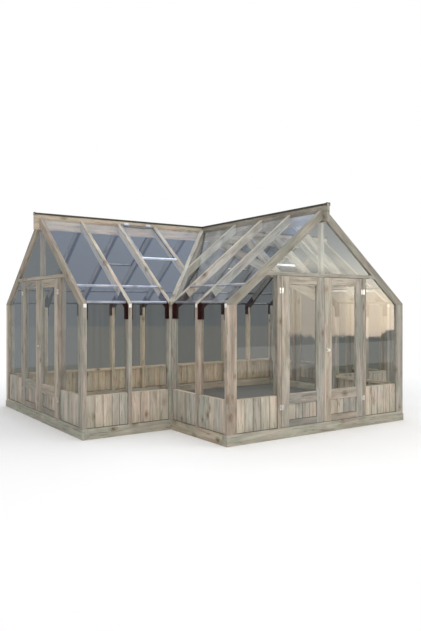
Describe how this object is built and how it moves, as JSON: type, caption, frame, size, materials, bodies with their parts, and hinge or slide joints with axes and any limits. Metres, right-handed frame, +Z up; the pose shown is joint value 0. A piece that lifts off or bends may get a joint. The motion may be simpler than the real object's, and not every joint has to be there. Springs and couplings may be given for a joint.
{
  "type": "glass greenhouse",
  "caption": "T-shaped timber greenhouse with glazed walls and roof over a boarded dwarf wall, glazed double doors in each gable and roof vents at the ridge.",
  "frame": {"origin": "on the ground, under the middle of the building's box", "axes": "+X east along the long house's ridge, +Y north away from the short wing's gable, +Z up"},
  "size_m": [5.54, 4.278, 2.8463],
  "materials": {
    "sill_timber": "weathered",
    "frame_timber": "weathered",
    "boarding": "weathered",
    "roof_timber": "weathered",
    "door_timber": "weathered",
    "wall_glass": "clear",
    "roof_glass": "clear",
    "door_glass": "clear",
    "ridge_sheet": "matt",
    "glazing_metal": "mill",
    "knee_plate_paint": "satin",
    "door_metal": "brushed"
  },
  "bodies": {
    "greenhouse_frame": {"gable_sills": "sill_timber", "long_house_sills": "sill_timber", "south_wing_sills": "sill_timber", "north_posts": "frame_timber", "wing_posts": "frame_timber", "inner_corner_posts": "frame_timber", "gable_posts": "frame_timber", "gable_transoms": "frame_timber", "king_posts": "frame_timber", "north_dwarf_wall": "boarding", "wing_dwarf_walls": "boarding", "gable_dwarf_walls": "boarding", "dwarf_wall_rails": "boarding", "north_wall_glass": "wall_glass", "wing_wall_glass": "wall_glass", "gable_glass": "wall_glass", "north_rafters": "roof_timber", "wing_rafters": "roof_timber", "valley_rafters": "roof_timber", "barge_rafters": "roof_timber", "long_ridge_beam": "roof_timber", "south_ridge_beam": "roof_timber", "long_ridge_cap": "ridge_sheet", "south_ridge_cap": "ridge_sheet", "north_roof_glass": "roof_glass", "wing_roof_glass": "roof_glass", "roof_vent_glass": "roof_glass", "roof_glazing_bars": "glazing_metal", "eave_strips": "glazing_metal", "roof_vent_frames": "glazing_metal", "knee_plates": "knee_plate_paint", "jamb_hinges": "door_metal"},
    "south_left_leaf": {"south_left_door": "door_timber", "south_left_door_glass": "door_glass", "south_left_door_hinges": "door_metal"},
    "south_right_leaf": {"south_right_door": "door_timber", "south_right_door_glass": "door_glass", "south_right_door_furniture": "door_metal"},
    "west_left_leaf": {"west_left_door": "door_timber", "west_left_door_glass": "door_glass", "west_left_door_hinges": "door_metal"},
    "west_right_leaf": {"west_right_door": "door_timber", "west_right_door_glass": "door_glass", "west_right_door_furniture": "door_metal"},
    "east_left_leaf": {"east_left_door": "door_timber", "east_left_door_glass": "door_glass", "east_left_door_hinges": "door_metal"},
    "east_right_leaf": {"east_right_door": "door_timber", "east_right_door_glass": "door_glass", "east_right_door_furniture": "door_metal"}
  },
  "joints": [
    {"name": "south_left_door_swing", "type": "hinge", "parent": "greenhouse_frame", "child": "south_left_leaf", "pos_m": [-0.7015, -2.075, 1.06], "axis": [0, 0, -1], "range_deg": [0, 110]},
    {"name": "south_right_door_swing", "type": "hinge", "parent": "greenhouse_frame", "child": "south_right_leaf", "pos_m": [0.7015, -2.075, 1.06], "axis": [0, 0, 1], "range_deg": [0, 110]},
    {"name": "west_left_door_swing", "type": "hinge", "parent": "greenhouse_frame", "child": "west_left_leaf", "pos_m": [-2.706, 1.3325, 1.06], "axis": [0, 0, -1], "range_deg": [0, 110]},
    {"name": "west_right_door_swing", "type": "hinge", "parent": "greenhouse_frame", "child": "west_right_leaf", "pos_m": [-2.706, -0.0705, 1.06], "axis": [0, 0, 1], "range_deg": [0, 110]},
    {"name": "east_left_door_swing", "type": "hinge", "parent": "greenhouse_frame", "child": "east_left_leaf", "pos_m": [2.706, -0.0705, 1.06], "axis": [0, 0, -1], "range_deg": [0, 110]},
    {"name": "east_right_door_swing", "type": "hinge", "parent": "greenhouse_frame", "child": "east_right_leaf", "pos_m": [2.706, 1.3325, 1.06], "axis": [0, 0, 1], "range_deg": [0, 110]}
  ]
}
